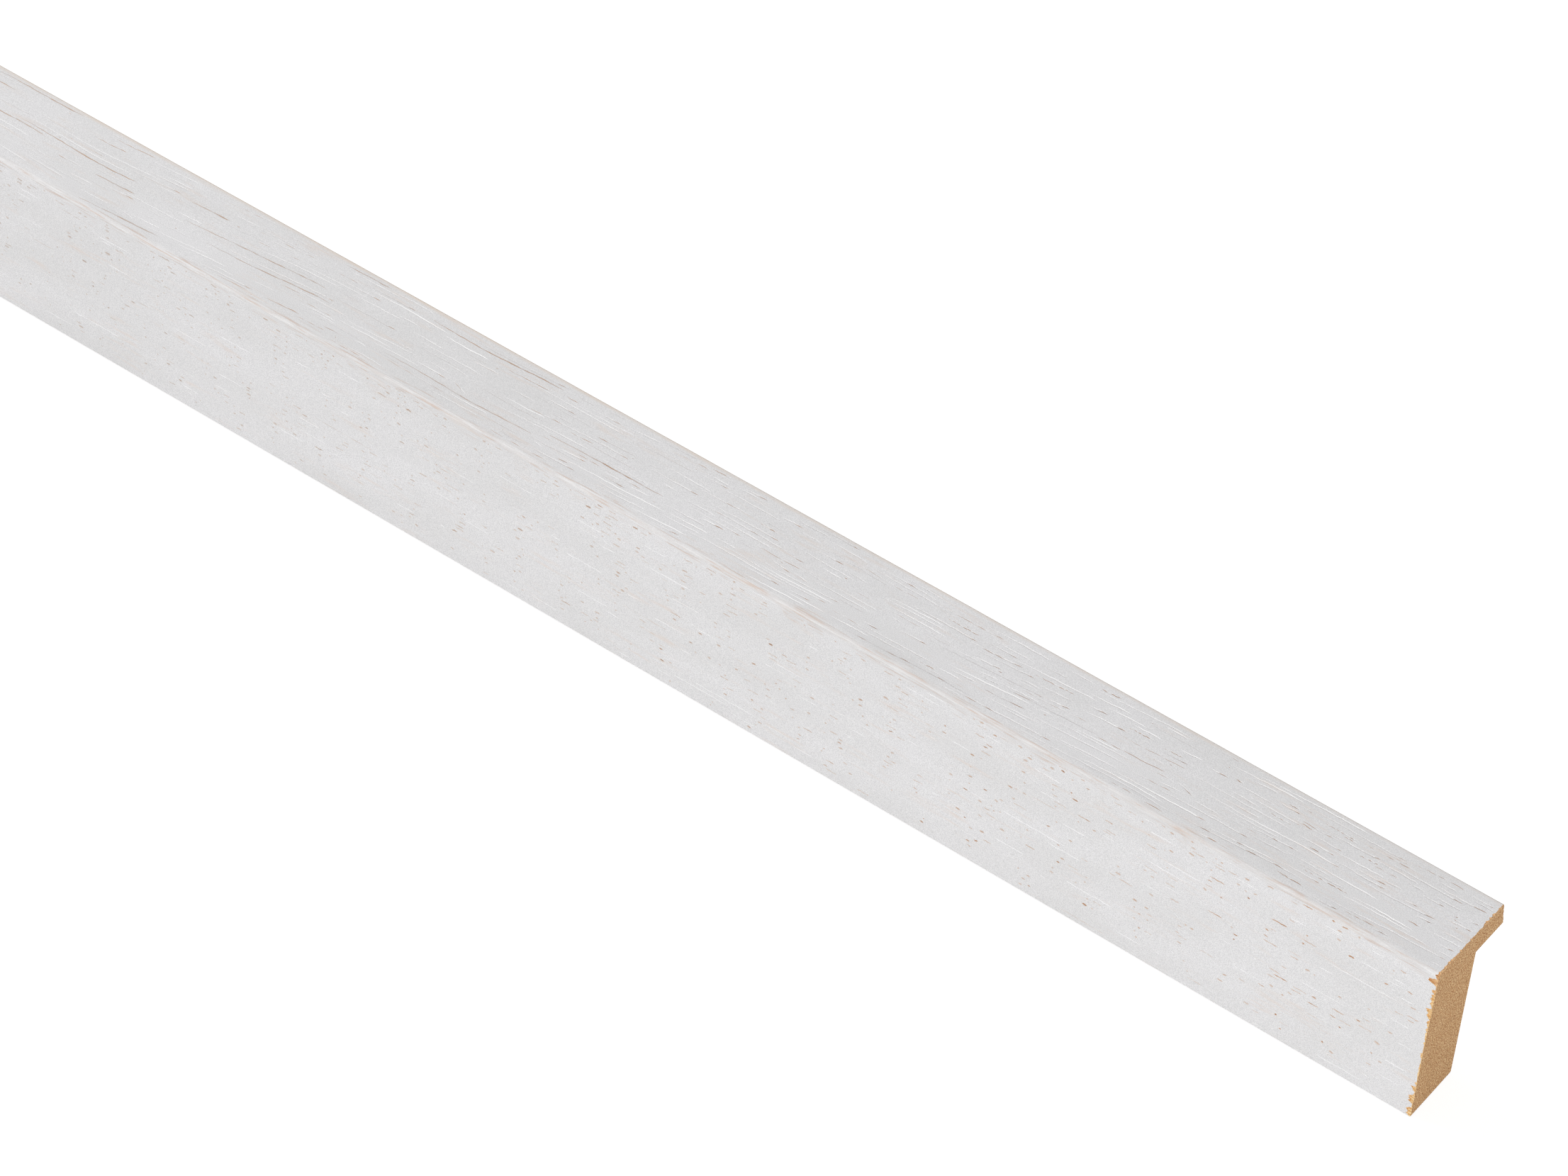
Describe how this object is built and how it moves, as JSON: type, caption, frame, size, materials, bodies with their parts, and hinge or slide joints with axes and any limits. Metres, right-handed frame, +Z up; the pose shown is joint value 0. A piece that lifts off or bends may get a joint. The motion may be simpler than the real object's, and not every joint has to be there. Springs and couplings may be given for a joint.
{
  "type": "picture frame moulding",
  "caption": "Straight stick of white-painted picture frame moulding: flat face, tall outer side, deep rebate for glass and backing, bevelled sight edge.",
  "frame": {"origin": "middle of the stick's length and width, on the plane of its back, which is the face it stands on", "axes": "+X along the stick, towards the sawn end that the picture shows; -Y out of the outer side; +Y out of the lip's sight edge; +Z up, out of the painted face"},
  "size_m": [1, 0.02, 0.033],
  "materials": {
    "painted_fibreboard": "matt white paint over open wood grain on the face, outer side and sight edge; bare tan fibreboard at the sawn ends, rebate and back"
  },
  "bodies": {
    "root": {"moulding": "painted_fibreboard"}
  },
  "joints": []
}
